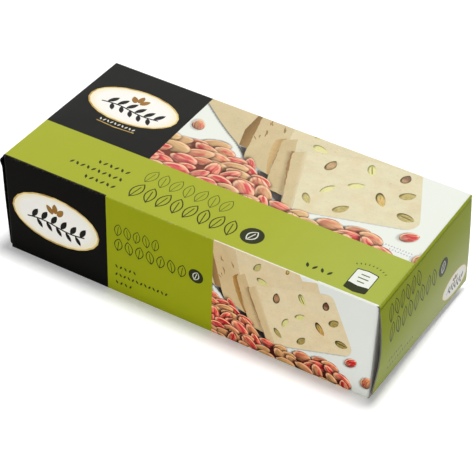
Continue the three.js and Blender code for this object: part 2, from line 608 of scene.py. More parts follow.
class Print:
    """The print on one flat panel: its shapes from the ground up. The first is the whole panel."""

    def __init__(self, outline, ink):
        self.shapes = [Shape(ink, outline)]
        self.fine_field = None

    def add(self, shape):
        """Lay one more shape on top and return its number."""
        if area_of(shape.outline) < 0:
            shape.outline = shape.outline[::-1]
        self.shapes.append(shape)
        return len(self.shapes) - 1

    def put(self, ink, outline, *facts):
        """Lay an outline of one ink on top."""
        return self.add(Shape(ink, outline, *facts))

    def put_oval(self, ink, middle, length, width):
        """Lay an oval with its shading frame on top."""
        self.put(ink, placed(oval(length, width), middle), middle, (length / 2, width / 2))


# ------------------------------------------------------------ generic ornament


def put_frieze(art, left, low, width, height, count, ink, ground, line):
    """A row of upright outlined leaves with midribs, as a plain band of ornament."""
    pitch = width / count
    for step in range(count):
        middle = (left + (step + 0.5) * pitch, low + height / 2)
        lean = math.radians(90 + (9 if step % 2 else -9))
        art.put(ink, placed(leaf(height, pitch * 0.80), middle, lean))
        art.put(ground, placed(leaf(height - 2.6 * line, pitch * 0.80 - 2 * line), middle, lean))
        art.put(ink, placed(ribbon([(-height * 0.5, 0), (height * 0.26, 0)], line * 0.8), middle, lean))


def put_seeds(art, left, right, low, row_gap, shares, ink, size, to_right=False):
    """Short rows of tiny seeds. Each share is a row's part of the full width, the lowest row first."""
    for row, share in enumerate(shares):
        width = (right - left) * share
        start = right - width if to_right else left
        count = max(2, round(width / (size * 0.98)))
        for step in range(count):
            middle = (start + (step + 0.5) * width / count, low + row * row_gap)
            lean = math.radians(62 if (step + row) % 2 else 118)
            art.put(ink, placed(leaf(size, size * 0.42, 4), middle, lean))


def put_badge(art, middle, radius):
    """A dark disc with a pale outlined kernel."""
    lean = math.radians(70)
    art.put_oval("title", middle, radius * 2, radius * 2)
    art.put("pale_line", placed(leaf(radius * 1.36, radius * 0.92), middle, lean))
    art.put("title", placed(leaf(radius * 1.16, radius * 0.68), middle, lean))
    art.put("pale_line", placed(ribbon([(-radius * 0.5, 0), (radius * 0.36, 0)], radius * 0.1), middle, lean))


def put_plaque(art, middle, half_width=18.6, half_height=10.6):
    """An oval cream plaque with a gold rim, a dark sprig and three small kernels."""
    rim = half_width * 0.035
    art.put_oval("gold", middle, half_width * 2, half_height * 2)
    art.put_oval("cream", middle, half_width * 2 - 2 * rim, half_height * 2 - 2 * rim)
    stem = []
    for step in range(13):
        x = (step / 12 - 0.5) * half_width * 1.32
        y = math.sin(step / 12 * math.tau) * half_height * 0.07 - half_height * 0.22
        stem.append((middle[0] + x, middle[1] + y))
    art.put("sprig", ribbon(stem, half_height * 0.055))
    for step in range(1, 12):
        odd = step % 2
        reach = half_height * (0.50 if odd else 0.42)
        lean = math.radians(58 if odd else -58)
        root_x, root_y = stem[step]
        tip = (root_x + math.cos(lean) * reach * 0.5, root_y + math.sin(lean) * reach * 0.5)
        art.put("sprig", placed(leaf(reach, reach * 0.40, 5), tip, lean))
    for step in (-1, 0, 1):
        spot = (middle[0] + step * half_width * 0.12, middle[1] + half_height * (0.52 - 0.10 * abs(step)))
        kernel = nut_outline(half_height * 0.40, half_height * 0.22, count=14)
        art.put("bronze", placed(kernel, spot, math.radians(90 - 38 * step)))


def put_label(art, middle):
    """A small white plate with a dark foot, under an arc of seeds."""
    across, up = middle
    plate = [(-3.9, -5.2), (0, -5.9), (3.9, -5.2), (3.9, 5.0), (0, 5.6), (-3.9, 5.0)]
    foot = plate[:3] + [(3.9, -2.2), (0, -2.8), (-3.9, -2.2)]
    art.put("title", placed(rounded(plate, 0.6, 3), middle, 0.0, 1.05))
    art.put("paper", placed(rounded(plate, 0.5, 3), middle, 0.0, 0.97))
    art.put("title", placed(rounded(foot, 0.4, 3), middle, 0.0, 0.97))
    for row, share in enumerate((0.5, 0.75, 0.6)):
        half, low = 2.6 * share, up + row * 1.9
        art.put("fine_line", box_outline(across - half, low - 0.9, across + half, low - 0.4))
    for step in range(9):
        turn = math.radians(125 - step * 8.75)
        spot = (across + 9.4 * math.cos(turn), up - 0.6 + 9.4 * math.sin(turn))
        art.put("fine_line", placed(leaf(1.1, 0.5, 4), spot, turn))


# ------------------------------------------------------------ the halva picture

SLICE_TURN = math.radians(17.4)
SLICE_LEAN = math.radians(21.0)
FAR_FACE = [(28, 80), (43.6, 67.4), (53.5, 59.6), (60, 55), (66.6, 50.8), (63.6, 60), (63.2, 72), (62, 84)]
FAR_SIDE = [(62.6, 84), (63, 62), (64.4, 52), (66.6, 50.8), (70.6, 50.9), (68, 62), (64.2, 84)]
SLICE_SIDES = ([(71.6, 45.2), (84.9, 40.8), (76, 84), (63, 84), (65, 70), (69.4, 54)],
               [(86.8, 34.2), (94.8, 33.6), (82.8, 65.4), (78.3, 62.2)],
               [(96.3, 29.6), (101.2, 28.3), (89.4, 61.2), (85, 57.6)])
SIDE_ROUNDS = ((3.2, 0.8, 0.1, 0.1, 0.1, 0.1), (2.4, 0.4, 0.1, 1.8), (1.8, 0.1, 0.1, 1.4))
SIDE_TONES = ((0.1, 0.3), (0.0, 0.2), (0.16, 0.9))
SLICE_FRONTS = ([(84.9, 41), (126, 54), (111.5, 78.5), (110, 84), (76, 84)],
                [(94.8, 34), (130, 46), (121.4, 77.5), (82.8, 65.4)],
                [(101.2, 28.3), (143.8, 41.8), (129.4, 73.8), (89.4, 61.2)])
CORNER_ROUNDS = (1.2, 5.0, 3.6, 1.0)
HOLLOWS = ([(66.8, 50.9), (70.4, 51), (72, 46.2), (70.6, 47.4)],
           [(80.6, 41.6), (84.8, 41.8), (88, 34.2), (84.6, 35.8)],
           [(88.6, 34), (94, 35.4), (96.8, 29.4), (93.2, 31)])
GAP_SHADE = [(82.6, 45.6), (84.9, 41.4), (83.6, 41.4), (80.8, 46.4), (78.4, 52.2), (77, 56.4), (76.2, 60.6),
             (77.4, 62.2), (79.2, 63.8), (78.9, 60)]
KERNELS = ((100.4, 58.2, 6.6, 3.7, 84, 0.85, 0.3), (114.1, 63.6, 6.8, 3.2, -62, 0.1, 0.9),
           (126.6, 65.6, 5.4, 3.6, 84, 1.0, 0.1), (131.5, 57.2, 6.4, 3.9, 42, 0.5, 0.2),
           (113.6, 52.7, 6.4, 3.1, 34, 0.02, 0.3), (124.5, 50.3, 8.0, 3.4, -54, 0.72, 0.55),
           (105.9, 45.2, 7.2, 2.8, 246, 0.0, 0.2), (136.3, 46.0, 6.8, 4.2, -4, 0.55, 1.0),
           (102.3, 36.9, 6.4, 2.8, -48, 0.4, 0.3), (115.2, 38.1, 6.6, 3.5, 54, 0.48, 0.5))
FAR_KERNELS = ((92.4, 64.7, 6.4, 3.5, -14, 0.15, 0.3), (89.4, 72.3, 6.6, 3.2, 58, 0.3, 0.4),
               (105.4, 76.8, 3.4, 1.8, 78, 0.8, 0.0))
CRUMB_SPOTS = ((69.8, 70.0), (71.6, 62.6), (69.6, 58.6), (75.6, 66.5))
HEAP_TOP = ((38, 43), (46, 46), (54, 46.2), (60, 48.6), (66, 46.6), (75, 45.8), (80, 43.2), (85, 38.8),
            (88.5, 34), (91, 29.6), (93, 27.4), (95.4, 28.2), (97.6, 30.6), (102, 30.8), (107, 30.2),
            (112, 29.2), (117, 31.6), (122, 31.8), (126, 33.2), (130, 34.4), (134, 33.2), (137, 28.6),
            (140, 24.5), (142.5, 19))
HEAP_TRIES = 5000
STRAYS = ((48.0, 53.6, 118, 6.8, 4.9, 0.46), (142.2, 37.2, 40, 7.4, 5.0, 0.2),
          (151.2, 28.6, 64, 7.6, 5.8, 0.5))
SHADE_DROP = (-1.2, -0.9)


def heap_height(across):
    """Upper edge of the heap of nuts at some distance along the panel."""
    return float(np.interp(across, *zip(*HEAP_TOP)))


def shadow_of(outline, depth, blur):
    """A shape that only casts its shadow."""
    return Shape("", outline, tuple(np.mean(outline, axis=0)), shadow=depth, blur=blur)


def halva_face(outline, turn, tone, fade, ink="halva"):
    """A face of cut halva: its tone from tan to cream, and how far its right edge fades to cream."""
    corners = np.array(outline)
    middle = (corners.min(axis=0) + corners.max(axis=0)) / 2
    reach = np.abs(turned(corners - middle, -turn)).max(axis=0)
    return Shape(ink, outline, tuple(middle), tuple(reach), turn, (tone, fade))


def crack_line(rng, start, end, width):
    """A thin jagged crack from one place to another."""
    spots = []
    for step in range(9):
        x, y = Vector(start).lerp(Vector(end), step / 8)
        spots.append((x + rng.uniform(-0.22, 0.22), y + rng.uniform(-0.2, 0.2)))
    return Shape("halva_crack", ribbon(spots, width))


def crumb_cracks(rng):
    """Short cracks in the side of the far slice."""
    cracks = []
    for x, y in CRUMB_SPOTS * 3:
        spot = (x + rng.uniform(-0.9, 0.9), y + rng.uniform(-1.8, 1.8))
        crack = leaf(rng.uniform(1.4, 3.2), rng.uniform(0.3, 0.7), 4)
        cracks.append(Shape("halva_crack", placed(crack, spot, math.radians(rng.uniform(95, 140)))))
    return cracks


def slice_shapes(rng):
    """The far block and the three slices that lean on it, the far ones first."""
    def side(number):
        outline = crumbled(rounded(SLICE_SIDES[number], SIDE_ROUNDS[number], 4), rng)
        return halva_face(outline, SLICE_LEAN, *SIDE_TONES[number])

    near = rounded(SLICE_FRONTS[2], CORNER_ROUNDS)
    return [*(shadow_of(hollow, 0.97, 0.5) for hollow in HOLLOWS),
            *(shadow_of(outline, 0.7, 0.5) for outline in SLICE_SIDES),
            shadow_of(near, 0.62, 0.4),
            shadow_of([*FAR_FACE[:5], FAR_FACE[-1]], 0.85, 0.4),
            halva_face(SLICE_FRONTS[0], SLICE_TURN, 0.8, 0.0),
            halva_face(FAR_SIDE, 0.1, 0.3, 0.3, "halva_side"),
            halva_face(FAR_FACE, math.radians(-36), 0.3, 0.0),
            side(0),
            *crumb_cracks(rng),
            Shape("halva_gap", crumbled(GAP_SHADE, rng, 1.4, 0.14), (80, 52), (2, 9), 0.3, (0, 0)),
            shadow_of(ribbon([(84.2, 44.0), (80.2, 60.0)], 0.3), 0.35, 0.6),
            crack_line(rng, (82.6, 47.4), (79.2, 60.4), 0.3),
            halva_face(rounded(SLICE_FRONTS[1], 1.0), SLICE_TURN, 0.8, 0.0),
            side(1),
            *kernel_shapes(FAR_KERNELS),
            shadow_of(ribbon([(96.4, 31.0), (85.6, 57.6)], 0.5), 0.4, 0.9),
            crack_line(rng, (92.4, 39.2), (88.5, 47.6), 0.5),
            crack_line(rng, (88.7, 47.0), (84.9, 58.2), 1.1),
            halva_face(near, SLICE_TURN, 1.0, 0.0),
            side(2),
            *kernel_shapes(KERNELS)]


def kernel_shapes(kernels):
    """Cut kernels: place, length, width, lean in degrees, ripeness and split."""
    shapes = []
    for x, y, length, width, degrees, ripe, split in kernels:
        lean = math.radians(degrees)
        outline = placed(nut_outline(length, width, 0.25, 0.03, 20), (x, y), lean)
        shapes.append(Shape("kernel", outline, (x, y), (length / 2, width / 2), lean, (ripe, split)))
    return shapes


def nut_shape(rng, spot, lean, length, width, tan, depth=0.85):
    """One nut, with the depth of its shadow."""
    outline = placed(nut_outline(length, width, rng.uniform(0.05, 0.5), rng.uniform(-0.08, 0.08)), spot, lean)
    return Shape("nut", outline, spot, (length / 2, width / 2), lean, (tan, rng.random()), depth, 0.45)


def heap_spots(rng):
    """Loose places for the nuts of the heap, the far ones first."""
    spots = []
    for _ in range(HEAP_TRIES):
        x, y = rng.uniform(37, 142), rng.uniform(8, 47)
        if y < heap_height(x) - 2.3 and all(math.hypot((x - a) / 6.0, (y - b) / 3.2) > 1 for a, b in spots):
            spots.append((x, y))
    return sorted(spots, key=lambda spot: -spot[1])


def heap_shapes(rng):
    """The heap of nuts, most of them laid along its slope."""
    edge = [(x, y - 3.6) for x, y in HEAP_TOP]
    shapes = [Shape("gap", [(38.0, 6.0), (143.0, 6.0)] + edge[::-1])]
    for x, y in heap_spots(rng):
        length = rng.uniform(8.6, 13.0) * (1.0 if x < 96 else 0.92)
        width = length * rng.uniform(0.46, 0.60)
        slope = math.atan2(heap_height(x + 5) - heap_height(x - 5), 10.0)
        spread = 28 if rng.random() < 0.7 else 80
        lean = slope * 0.8 + math.radians(rng.uniform(-spread, spread)) + rng.choice((0.0, math.pi))
        tan = rng.random() * 0.62 + (0.36 if y > 35 and x < 70 or y < 25.5 else 0.0)
        shapes.append(nut_shape(rng, (x, y), lean, length, width, tan))
    for x, y, degrees, length, width, tan in STRAYS:
        shapes.append(nut_shape(rng, (x, y), math.radians(degrees), length, width, tan, 0.6))
    return shapes


def put_picture(art, field_outline, scale, shift, seed):
    """Slices of halva and a heap of nuts on white, kept inside one field of the panel."""
    rng = random.Random(seed)
    field = art.put("ground", field_outline)
    art.fine_field = extent_of(field_outline)
    for shape in slice_shapes(rng) + heap_shapes(rng):
        art.add(replace(shape, outline=placed(shape.outline, shift, 0.0, scale), field=field,
                        middle=placed([shape.middle], shift, 0.0, scale)[0],
                        reach=(shape.reach[0] * scale, shape.reach[1] * scale), blur=shape.blur * scale))


# ------------------------------------------------------- the sides of the body

SIDE_AXES = {  # a side's right, its up and its outward direction, seen from outside
    "top": ((1, 0, 0), (0, 1, 0), (0, 0, 1)),
    "front": ((1, 0, 0), (0, 0, 1), (0, -1, 0)),
    "back": ((-1, 0, 0), (0, 0, 1), (0, 1, 0)),
    "base": ((1, 0, 0), (0, -1, 0), (0, 0, -1)),
    "right": ((0, 1, 0), (0, 0, 1), (1, 0, 0)),
    "left": ((0, -1, 0), (0, 0, 1), (-1, 0, 0)),
}
SWELL_SHARES = {"top": 1.0, "front": 0.5, "back": 0.5}
DARK_WIDTH = 43.4  # of the dark field, on the long sides and the base
LEAST_GAP = 0.02  # between an outer flap and the end behind it
UNWORN_GAP = 9  # keeps the inner face from looking rubbed
CREASE_STEPS = 4  # rows of facets in half a crease
EDGE_PITCH = 3.0  # of the points along a row
PLAIN_PITCH, FINE_PITCH = 4.0, 0.7  # of the loose points on plain fields and in the picture
LEAST_AREA = 1e-7  # of a triangle that is kept


def side_sizes(side_name, sizes):
    """A side's half width, half height and distance from the body's middle."""
    half = np.array([sizes.length, sizes.depth, sizes.height]) / 2
    return [float(abs(np.array(axis)) @ half) for axis in SIDE_AXES[side_name]]


def side_creases(side_name, sizes):
    """Outer radii of the creases at a side's left and right, and at its top and bottom."""
    return sizes.crease if side_name in ("top", "base") else sizes.post_crease, sizes.crease


def sheet_outline(side_name, sizes):
    """A side's flat sheet, out to the middle of its creases."""
    half_width, half_height, _ = side_sizes(side_name, sizes)
    lost_x, lost_y = (crease * (1 - math.pi / 4) for crease in side_creases(side_name, sizes))
    return box_outline(lost_x, lost_y, 2 * half_width - lost_x, 2 * half_height - lost_y)


def top_print(sizes):
    """Dark field and picture behind, lime band with the title in front."""
    length, depth = sizes.length, sizes.depth
    band, dark_width, bleed = 26.0, 43.9, 0.35
    near, far = dark_width + 0.5, dark_width - 0.4
    art = Print(sheet_outline("top", sizes), "lime_top")
    art.put("dark", [(-1, band), (near, band), (far, depth + 1), (-1, depth + 1)])
    field = [(near, band), (length - bleed, band), (length - bleed, depth + 1), (far, depth + 1)]
    put_picture(art, field, 1.0, (0, 0), 5)
    put_seeds(art, 136.6, 147.4, 28.2, 1.5, (0.8, 1.0), "faint_line", 1.1, to_right=True)
    art.put("dark", box_outline(-1, -1, dark_width - 0.5, 0.75))
    art.put("cream", box_outline(87.2, -1, 127, 0.4), (107, 0), (40, 2))
    art.put("paper", box_outline(127, -1, length - 0.6, 0.8))
    put_plaque(art, (22.2, 49.4))
    art.put("gold", ribbon([(15.2, 35.9), (23.0, 35.3), (31.2, 35.9)], 0.42))
    put_seeds(art, 15.4, 31.0, 37.3, 2.0, (1.0,), "pale_line", 1.6)
    put_frieze(art, 48.4, 13.9, 35.6, 7.8, 7, "fine_line", "lime_top", 0.34)
    put_frieze(art, 48.0, 4.3, 43.4, 8.7, 8, "title", "lime_top", 0.48)
    put_badge(art, (97.0, 8.9), 4.25)
    put_seeds(art, 21.2, 43.8, 5.8, 4.7, (0.60, 1.0, 0.62), "title", 2.3, to_right=True)
    put_seeds(art, 118.6, 129.8, 6.0, 3.0, (1.0,), "title", 2.6)
    put_label(art, (139.0, 8.3))
    return art


def long_side_print(sizes, seed):
    """Front or back panel: dark field, lime title field and picture, side by side."""
    length, height = sizes.length, sizes.height
    lime_width, picture_scale, picture_shift = 87.1, 0.7105, (40.95, -13.53)
    corners = sheet_outline("front", sizes)
    art = Print([*corners[:2], *rounded(corners, 1.2)[12:18], corners[3]], "lime")
    art.put("dark", box_outline(-1, -1, DARK_WIDTH, height + 1))
    field = box_outline(lime_width, -1, length + 1, height + 1)
    put_picture(art, field, picture_scale, picture_shift, seed)
    put_plaque(art, (21.4, 21.2), 18.8)
    put_frieze(art, 46.4, 26.3, 19.4, 5.6, 5, "title", "lime", 0.30)
    put_frieze(art, 46.2, 19.6, 30.8, 6.0, 7, "title", "lime", 0.36)
    put_badge(art, (80.5, 22.9), 3.0)
    put_seeds(art, 46.4, 69.2, 5.0, 3.7, (0.34, 1.0, 0.42), "title", 1.8)
    return art


def base_print(sizes):
    """Base panel: lime, with a bare white field and a dark end."""
    depth = sizes.depth
    art = Print(sheet_outline("base", sizes), "lime")
    art.put("dark", box_outline(-1, -1, DARK_WIDTH, depth + 1))
    art.put("paper", rounded(box_outline(50, 8, 142, depth - 8), 2.5))
    put_plaque(art, (21.4, depth / 2))
    put_frieze(art, 56, depth - 22, 40, 7.0, 8, "title", "paper", 0.4)
    return art


def tuck_print(sizes):
    """The folded-in flaps behind an outer flap: plain board that ends below the hinge."""
    below_hinge = 2.4
    corners = sheet_outline("right", sizes)
    top = sizes.height - below_hinge
    return Print([*corners[:2], (corners[2][0], top), (corners[3][0], top)], "inside")


def hinge_height(sizes):
    """Height of the line at which an outer flap starts."""
    return sizes.height - sizes.crease * (1 - math.cos(math.pi / 4))


def flap_outline(sizes, low_left, low_right):
    """An outer end flap, from its hinge to its slanted lower edge, corners rounded."""
    inset = 0.3
    far, hinge = sizes.depth - inset, hinge_height(sizes)
    corners = [(inset, hinge), (inset, low_left), (far, low_right), (far, hinge)]
    return [corners[0], *rounded(corners, 1.0, 3)[4:12], corners[3]]


def right_flap_print(sizes):
    """Right end: lime, with the line ornament, the badge and a small plaque low at the back."""
    art = Print(flap_outline(sizes, sizes.lift_front, sizes.lift_back), "lime")
    put_frieze(art, 5.8, 30.4, 25.0, 7.6, 6, "title", "lime", 0.40)
    put_frieze(art, 6.0, 21.6, 37.4, 8.4, 8, "title", "lime", 0.44)
    put_badge(art, (48.4, 25.2), 3.7)
    put_seeds(art, 8.4, 28.4, 8.4, 3.6, (1.0, 0.52), "fine_line", 1.8)
    put_plaque(art, (60.2, 9.8), 9.8, 5.3)
    return art


def left_flap_print(sizes):
    """Left end: dark, with the plaque in its middle."""
    art = Print(flap_outline(sizes, 1.2, 1.0), "dark")
    put_plaque(art, (sizes.depth / 2, 21.0))
    return art


# ------------------------------------------------------------ folding the board


def flared(spots, sizes):
    """Spread both ends a little towards the top, most at the front and on the left, as a full carton does."""
    rise = np.clip(spots[:, 2] / sizes.height, 0, 1) ** 1.3
    front = np.clip(0.5 - spots[:, 1] / sizes.depth, 0, 1)
    share = spots[:, 0] / (sizes.length / 2)
    left_end = np.clip(-share, 0, None) ** 3 * (front + 1) / 2
    spots[:, 0] += (sizes.flare * front * share - sizes.flare_left * left_end) * rise
    return spots


def side_surface(side_name, sizes):
    """The function that folds flat places on a side round its creases."""
    axes = np.array(SIDE_AXES[side_name], float)
    creases = np.array(side_creases(side_name, sizes))
    *half, gap = side_sizes(side_name, sizes)
    half = np.array(half)
    flat_half = half - creases
    swell = sizes.swell * SWELL_SHARES.get(side_name, 0.0)

    def fold(flat):
        core = np.clip(flat - half, -flat_half, flat_half)
        slope = np.tan((flat - half - core) / creases)
        steepness = (slope ** 2).sum(axis=1)
        lean = slope / np.sqrt(1 + steepness)[:, None]
        radius = (creases * slope ** 2).sum(axis=1) / np.maximum(steepness, 1e-12)
        span = np.clip(1 - ((flat - half) / flat_half) ** 2, 0, 1)
        out = gap - radius * (1 - 1 / np.sqrt(1 + steepness))
        out += swell * span[:, 0] ** 0.7 * span[:, 1]
        local = np.column_stack([core + creases * lean, out])
        return flared(local @ axes + [0, 0, sizes.height / 2], sizes)

    return fold


def flap_surface(sizes, end, offset):
    """The function that hangs flat places on an outer flap, which stands off by offset(below, across)."""
    half_length, half_depth, hinge = sizes.length / 2, sizes.depth / 2, hinge_height(sizes)
    hinge_inset, inset_fade = sizes.crease * (1 - math.sin(math.pi / 4)), 0.35

    def hang(flat):
        below = np.clip(hinge - flat[:, 1], 0, None)
        tucked = hinge_inset * np.exp(-below / inset_fade)
        x = end * (half_length - tucked + offset(below, flat[:, 0]))
        return flared(np.column_stack([x, end * (flat[:, 0] - half_depth), flat[:, 1]]), sizes)

    return hang


def right_flap_offset(sizes):
    """Stand-off of the right flap: a pressed line below the hinge, then a bow that fades towards the back."""
    def edge_value(name, share):
        front, back = (getattr(sizes, f"{name}_{place}") for place in ("front", "back"))
        return front + (back - front) * share

    def bump(below, depth, size, width):
        return size * np.exp(-((below - depth) / width) ** 2)

    def offset(below, across):
        share = np.clip(across / sizes.depth, 0, 1)
        drop = np.clip(below / (sizes.height - edge_value("lift", share)), 0, 1.05)
        sprung = edge_value("open", share) * drop
        bowed = edge_value("bow", share) * np.sin(np.pi * drop)
        pressed = bump(below, 0.5, 0.22, 0.35) - bump(below, 1.35, 0.16, 0.25)
        return np.maximum(sprung + bowed + pressed, LEAST_GAP)

    return offset


def left_flap_offset(sizes):
    """Stand-off of the left flap: a small roll below the hinge, even half way down, then closing."""
    rise_length, roll_length, even_length, closed_share = 3.2, 6.2, 13.0, 0.95

    def offset(below, _):
        rise = np.sin(np.pi / 2 * np.clip(below / rise_length, 0, 1)) ** 2
        closing = closed_share * np.clip((below - even_length) / (sizes.height - even_length), 0, 1) ** 1.8
        phase = np.clip(below / roll_length, 0, 1)
        return sizes.stand_left * rise * (1 - closing) + sizes.roll * np.sin(np.pi * phase) ** 2

    return offset


def crease_rows(outline, creases):
    """Straight lines to split a flat sheet along, so that it can bend there. A flap passes no creases."""
    left, low, right, high = extent_of(outline)
    if not creases:
        fine_gap, fine_count, wide_start, wide_count = 0.2, 31, 7.2, 21
        fine = [high - step * fine_gap for step in range(1, fine_count + 1)]
        wide = np.linspace(high - wide_start, low, wide_count + 1)[:-1]
        return [((left, y), (right, y)) for y in [*fine, *wide]]
    lines = []
    for step in range(1, CREASE_STEPS + 1):
        gap_x, gap_y = (crease * math.pi / (4 * CREASE_STEPS) * step for crease in creases)
        lines += [((left, y), (right, y)) for y in (low + gap_y, high - gap_y)]
        lines += [((x, low), (x, high)) for x in (left + gap_x, right - gap_x)]
    return lines


def lattice(left, low, right, high, pitch):
    """Points in staggered rows."""
    columns, rows = int((right - left) / pitch), int((high - low) / pitch)
    return [(left + (column + 0.5 + 0.25 * (row % 2)) * pitch, low + (row + 0.5) * pitch)
            for column in range(columns) for row in range(rows)]


def fill_points(outline, fine_field, margin=1.0):
    """Loose points inside a sheet: wide apart on plain fields, close in the picture."""
    left, low, right, high = extent_of(outline)
    inner = (left + margin, low + margin, right - margin, high - margin)
    points = lattice(*inner, PLAIN_PITCH)
    if fine_field:
        lower, upper = map(max, fine_field[:2], inner[:2]), map(min, fine_field[2:], inner[2:])
        points += lattice(*lower, *upper, FINE_PITCH)
    return points


def split_sheet(art, rows):
    """Split a flat sheet into triangles along its printed outlines: places, triangles, shape numbers."""
    places, edges, faces = [], [], []
    for shape in art.shapes:
        first = len(places)
        places += [Vector(point) for point in shape.outline]
        faces.append(list(range(first, len(places))))
    for start, end in rows:
        count = max(2, int((Vector(end) - Vector(start)).length / EDGE_PITCH))
        first = len(places)
        places += [Vector(start).lerp(Vector(end), step / count) for step in range(count + 1)]
        edges += [(first + step, first + step + 1) for step in range(count)]
    places += [Vector(point) for point in fill_points(art.shapes[0].outline, art.fine_field)]
    found = delaunay_2d_cdt(places, edges, faces, 1, 1e-4)
    flat = np.array([tuple(place) for place in found[0]])
    triangles, chosen = [], []
    for corners, inside in zip(found[2], found[5]):
        if 0 in inside:
            triangles.append(corners)
            chosen.append(max(n for n in inside if art.shapes[n].ink and art.shapes[n].field in inside))
    triangles = np.array(triangles)
    a, b, c = (flat[triangles[:, corner]] for corner in range(3))
    area = (b[:, 0] - a[:, 0]) * (c[:, 1] - a[:, 1]) - (b[:, 1] - a[:, 1]) * (c[:, 0] - a[:, 0])
    triangles[area < 0] = triangles[area < 0][:, ::-1]
    keep = np.abs(area) > LEAST_AREA
    used, numbers = np.unique(triangles[keep], return_inverse=True)
    return flat[used], numbers.reshape(-1, 3), np.array(chosen)[keep]


# ------------------------------------------------------------ shading the print


def turned(spots, turn):
    """Places turned about the origin."""
    cos, sin = math.cos(turn), math.sin(turn)
    x, y = spots[:, 0], spots[:, 1]
    return np.column_stack([x * cos - y * sin, x * sin + y * cos])


def within_shape(shape, spots):
    """Places as seen from a shape: 1 at its reach along and across."""
    return turned(spots - shape.middle, -shape.turn) / shape.reach


def gap_to(shape, spots):
    """Rough distance from places to a shape: 0 inside it."""
    if shape.ink == "nut":
        beyond = np.linalg.norm(within_shape(shape, spots), axis=1) - 1
        return np.clip(beyond, 0, None) * min(shape.reach)
    corners = np.array(shape.outline)
    sides = np.roll(corners, -1, axis=0) - corners
    sizes = np.linalg.norm(sides, axis=1)
    kept = sizes > 1e-6
    outward = np.column_stack([sides[kept, 1], -sides[kept, 0]]) / sizes[kept, None]
    beyond = spots @ outward.T - np.sum(corners[kept] * outward, axis=1)
    return np.clip(beyond.max(axis=1), 0, None)


def shade_over(art, spots, chosen):
    """Soft shade on each place from the shapes that lie above its own."""
    light = np.ones(len(spots))
    for number, shape in enumerate(art.shapes):
        if not shape.shadow:
            continue
        under = np.nonzero(chosen < number)[0]
        reach = max(np.linalg.norm(np.array(shape.outline) - shape.middle, axis=1)) + 4 * shape.blur
        near = under[np.linalg.norm(spots[under] - shape.middle, axis=1) < reach]
        if len(near):
            gap = gap_to(shape, spots[near] - np.array(SHADE_DROP) * shape.blur)
            light[near] *= 1 - shape.shadow * np.exp(-(gap / shape.blur) ** 2)
    return 1 - light


def write_values(mesh, name, kind, domain, values):
    """Keep values on the mesh for the inks to read."""
    layer = mesh.attributes.new(name, kind, domain)
    field = "vector" if kind == "FLOAT_VECTOR" else "value"
    layer.data.foreach_set(field, np.asarray(values, dtype=np.float32).ravel())


def write_shading(mesh, art, spots, chosen):
    """Keep on the printed corners where each lies within its shape, how that leans there, and its shade."""
    within, tilt = np.zeros((2, len(mesh.loops), 3))
    shade = np.zeros(len(mesh.loops))
    for number in np.unique(chosen):
        shape = art.shapes[number]
        mine = np.nonzero(chosen == number)[0]
        seen = within_shape(shape, spots[mine])
        slim = shape.reach[1] / shape.reach[0]
        within[mine, :2], within[mine, 2] = seen, shape.seeds[0]
        tilt[mine, :2], tilt[mine, 2] = turned(seen * [slim, 1], shape.turn), shape.seeds[1]
    shade[:len(spots)] = shade_over(art, spots, chosen)
    write_values(mesh, "within", "FLOAT_VECTOR", "CORNER", within)
    write_values(mesh, "tilt", "FLOAT_VECTOR", "CORNER", tilt)
    write_values(mesh, "shade", "FLOAT", "CORNER", shade)


# ------------------------------------------------------------ making the pieces


def outward_normals(surface, flat):
    """Outward directions of a folded surface, from small steps along the sheet."""
    step = 0.01
    across = surface(flat + [step, 0]) - surface(flat - [step, 0])
    up = surface(flat + [0, step]) - surface(flat - [0, step])
    normals = np.cross(across, up)
    return normals / np.linalg.norm(normals, axis=1, keepdims=True)


def rim_edges(triangles):
    """Edges that only one triangle has, in the order in which it has them."""
    edges = np.vstack([triangles[:, [0, 1]], triangles[:, [1, 2]], triangles[:, [2, 0]]]).tolist()
    known = {tuple(edge) for edge in edges}
    return [edge for edge in edges if (edge[1], edge[0]) not in known]


def bake_places(flat, triangles, edges):
    """Places for every corner on a square sheet: the print large, the inside and the cut edges in strips."""
    margin, width = 0.01, 0.98
    cell_low, cell_high = 0.10, 0.115
    share = (flat - flat.min(axis=0)) / np.ptp(flat, axis=0)
    outer = share * [width, 0.86] + [margin, 0.13]
    inner = share * [width, 0.08] + [margin, margin]
    cells = []
    for number in range(len(edges)):
        left, right = (margin + width * (number + part) / len(edges) for part in (0, 1))
        cells += [(right, cell_high), (left, cell_high), (left, cell_low), (right, cell_low)]
    return np.vstack([outer[triangles.ravel()], inner[triangles[:, ::-1].ravel()], cells])


def set_normals(mesh, normals, triangles, rim_count):
    """Smooth light on both faces of the board, and flat light on its cut edges."""
    mesh.update()
    rim_faces = list(mesh.polygons)[-rim_count:]
    rim = np.repeat([tuple(face.normal) for face in rim_faces], 4, axis=0)
    outer, inner = normals[triangles.ravel()], -normals[triangles[:, ::-1].ravel()]
    mesh.normals_split_custom_set(np.vstack([outer, inner, rim]).tolist())


def add_object(name, data, matrix=None):
    """Put a mesh, a light or a camera into the scene."""
    made = bpy.data.objects.new(name, data)
    if matrix is not None:
        made.matrix_world = matrix
    bpy.context.scene.collection.objects.link(made)
    return made


